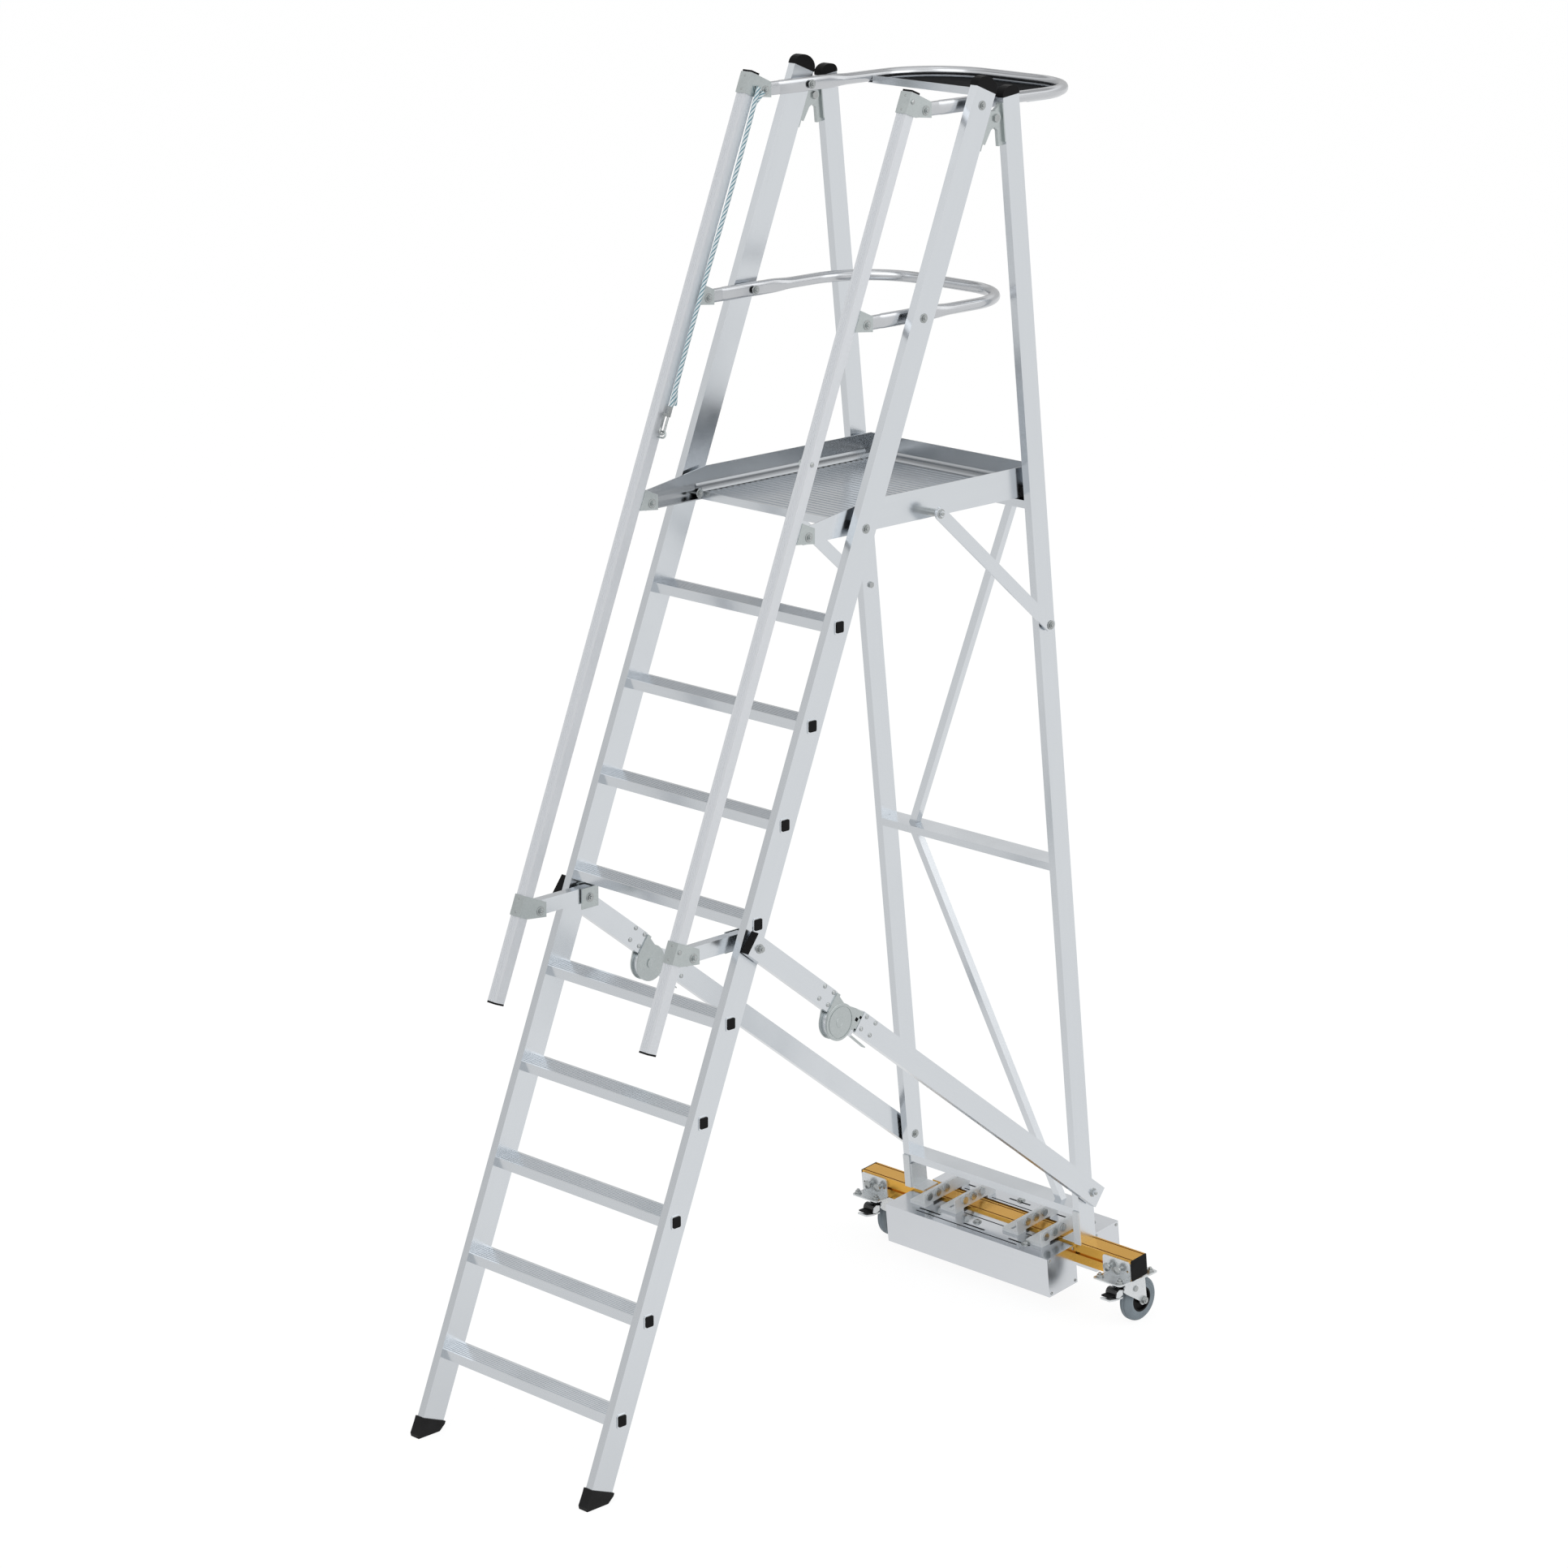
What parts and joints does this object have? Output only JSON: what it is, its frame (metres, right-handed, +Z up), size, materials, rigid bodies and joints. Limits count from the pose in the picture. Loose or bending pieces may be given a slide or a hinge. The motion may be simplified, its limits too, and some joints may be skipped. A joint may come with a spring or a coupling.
{
  "type": "folding platform ladder",
  "caption": "Tall folding platform ladder with a guarded standing deck, parallel handrails, folding spreader stays and a wheeled, ballasted rear beam.",
  "frame": {"origin": "middle of the footprint's box, on the floor", "axes": "+X to the right of a person climbing, +Y from the ladder to the rear frame, +Z up"},
  "size_m": [1.03, 2.0706, 3.4663],
  "materials": {
    "aluminium": "satin mill finish",
    "sheet_steel": "satin sheet",
    "galvanised": "zinc plated",
    "fasteners": "bright zinc",
    "black_plastic": "moulded",
    "foot_rubber": "moulded",
    "amber_beam": "amber anodised",
    "grey_tyre": "non-marking grey rubber",
    "rope": "twisted, pale with teal strands"
  },
  "bodies": {
    "ladder": {"ladder_rail_left": "aluminium", "ladder_rail_right": "aluminium", "treads": "aluminium", "tread_plugs": "black_plastic", "feet": "foot_rubber", "ladder_caps": "black_plastic", "ladder_brackets": "galvanised", "ladder_bolts": "fasteners"},
    "rear_frame": {"rear_rail_left": "aluminium", "rear_rail_right": "aluminium", "rear_caps": "black_plastic", "rear_hinge_plates": "galvanised", "upper_tube": "aluminium", "middle_tube": "aluminium", "lower_tube": "aluminium", "braces": "aluminium", "rear_bolts": "fasteners", "leg_brackets": "galvanised", "beam": "amber_beam", "clamp_angles": "galvanised", "front_ballast": "sheet_steel", "rear_ballast": "sheet_steel", "castor_mounts": "galvanised", "mount_knobs": "fasteners"},
    "platform": {"deck": "aluminium", "toe_left": "aluminium", "toe_right": "aluminium", "toe_rear": "aluminium", "platform_spacers": "fasteners", "glides": "black_plastic"},
    "handrails": {"handrail_left": "aluminium", "handrail_right": "aluminium", "handrail_caps": "black_plastic", "handrail_clips": "galvanised", "rope": "rope", "snap_hook": "fasteners"},
    "top_guardrail": {"top_hoop": "aluminium", "hoop_tray": "aluminium"},
    "middle_guardrail": {"middle_hoop": "aluminium"},
    "lower_arms": {"arm_left": "aluminium", "arm_right": "aluminium"},
    "struts": {"strut_left": "aluminium", "strut_right": "aluminium"},
    "spreader_fronts": {"spreader_front_left": "aluminium", "spreader_front_right": "aluminium", "spreader_caps": "black_plastic", "lock_discs": "galvanised"},
    "spreader_rears": {"spreader_rear_left": "aluminium", "spreader_rear_right": "aluminium"},
    "release_left": {"lever_left": "galvanised"},
    "release_right": {"lever_right": "galvanised"},
    "castor_left": {"fork_left": "galvanised"},
    "castor_right": {"fork_right": "galvanised"},
    "wheel_left": {"tyre_left": "grey_tyre", "hub_left": "black_plastic"},
    "wheel_right": {"tyre_right": "grey_tyre", "hub_right": "black_plastic"},
    "brake_left": {"pedal_left": "black_plastic"},
    "brake_right": {"pedal_right": "black_plastic"},
    "gate": {"snap_gate": "fasteners"}
  },
  "joints": [
    {"name": "rear_fold", "type": "hinge", "parent": "ladder", "child": "rear_frame", "pos_m": [0, 0.43262, 3.356], "axis": [-1, 0, 0], "range_deg": [0, 18]},
    {"name": "platform_tilt", "type": "hinge", "parent": "ladder", "child": "platform", "pos_m": [0, -0.03696, 2.367], "axis": [1, 0, 0], "range_deg": [0, 46.4]},
    {"name": "handrail_drop", "type": "hinge", "parent": "platform", "child": "handrails", "pos_m": [0, -0.20996, 2.367], "axis": [-1, 0, 0], "range_deg": [0, 46.4]},
    {"name": "top_guardrail_tilt", "type": "hinge", "parent": "ladder", "child": "top_guardrail", "pos_m": [0, 0.37757, 3.393], "axis": [1, 0, 0], "range_deg": [0, 46.4]},
    {"name": "middle_guardrail_tilt", "type": "hinge", "parent": "ladder", "child": "middle_guardrail", "pos_m": [0, 0.16909, 2.877], "axis": [1, 0, 0], "range_deg": [0, 46.4]},
    {"name": "lower_arm_tilt", "type": "hinge", "parent": "ladder", "child": "lower_arms", "pos_m": [0, -0.44543, 1.356], "axis": [1, 0, 0], "range_deg": [0, 46.4]},
    {"name": "strut_swing", "type": "hinge", "parent": "rear_frame", "child": "struts", "pos_m": [0, 0.6532, 2.001], "axis": [-1, 0, 0], "range_deg": [0, 23.32]},
    {"name": "spreader_front_swing", "type": "hinge", "parent": "ladder", "child": "spreader_fronts", "pos_m": [0, -0.44543, 1.356], "axis": [1, 0, 0], "range_deg": [0, 85.72]},
    {"name": "spreader_rear_swing", "type": "hinge", "parent": "spreader_fronts", "child": "spreader_rears", "pos_m": [0, -0.15824, 1.09462], "axis": [-1, 0, 0], "range_deg": [0, 136.57]},
    {"name": "release_left_pull", "type": "hinge", "parent": "spreader_rears", "child": "release_left", "pos_m": [-0.352, -0.11716, 1.05291], "axis": [1, 0, 0], "range_deg": [0, 9], "stiffness_Nm_per_rad": 0.2, "springref_deg": -11.46},
    {"name": "release_right_pull", "type": "hinge", "parent": "spreader_rears", "child": "release_right", "pos_m": [0.352, -0.11716, 1.05291], "axis": [1, 0, 0], "range_deg": [0, 9], "stiffness_Nm_per_rad": 0.2, "springref_deg": -11.46},
    {"name": "castor_left_swivel", "type": "hinge", "parent": "rear_frame", "child": "castor_left", "pos_m": [-0.449, 0.87416, 0.1306], "axis": [0, 0, 1], "continuous": true},
    {"name": "castor_right_swivel", "type": "hinge", "parent": "rear_frame", "child": "castor_right", "pos_m": [0.477, 0.87416, 0.1306], "axis": [0, 0, 1], "continuous": true},
    {"name": "wheel_left_spin", "type": "hinge", "parent": "castor_left", "child": "wheel_left", "pos_m": [-0.449, 0.91216, 0.0635], "axis": [1, 0, 0], "continuous": true},
    {"name": "wheel_right_spin", "type": "hinge", "parent": "castor_right", "child": "wheel_right", "pos_m": [0.477, 0.91216, 0.0635], "axis": [1, 0, 0], "continuous": true},
    {"name": "brake_left_press", "type": "hinge", "parent": "castor_left", "child": "brake_left", "pos_m": [-0.449, 0.83816, 0.11], "axis": [1, 0, 0], "range_deg": [0, 15]},
    {"name": "brake_right_press", "type": "hinge", "parent": "castor_right", "child": "brake_right", "pos_m": [0.477, 0.83816, 0.11], "axis": [1, 0, 0], "range_deg": [0, 15]},
    {"name": "gate_swing", "type": "hinge", "parent": "handrails", "child": "gate", "pos_m": [-0.2585, -0.17113, 2.59676], "axis": [1, 0, 0], "range_deg": [0, 16], "stiffness_Nm_per_rad": 0.01, "springref_deg": -11.46}
  ],
  "couplings": [
    {"joint": "platform_tilt", "follows": "rear_fold", "ratio": 2.5776},
    {"joint": "handrail_drop", "follows": "rear_fold", "ratio": 2.5776},
    {"joint": "top_guardrail_tilt", "follows": "rear_fold", "ratio": 2.5776},
    {"joint": "middle_guardrail_tilt", "follows": "rear_fold", "ratio": 2.5776},
    {"joint": "lower_arm_tilt", "follows": "rear_fold", "ratio": 2.5776},
    {"joint": "strut_swing", "follows": "rear_fold", "ratio": 1.2953},
    {"joint": "spreader_front_swing", "follows": "rear_fold", "ratio": 4.7617},
    {"joint": "spreader_rear_swing", "follows": "rear_fold", "ratio": 7.5871}
  ]
}
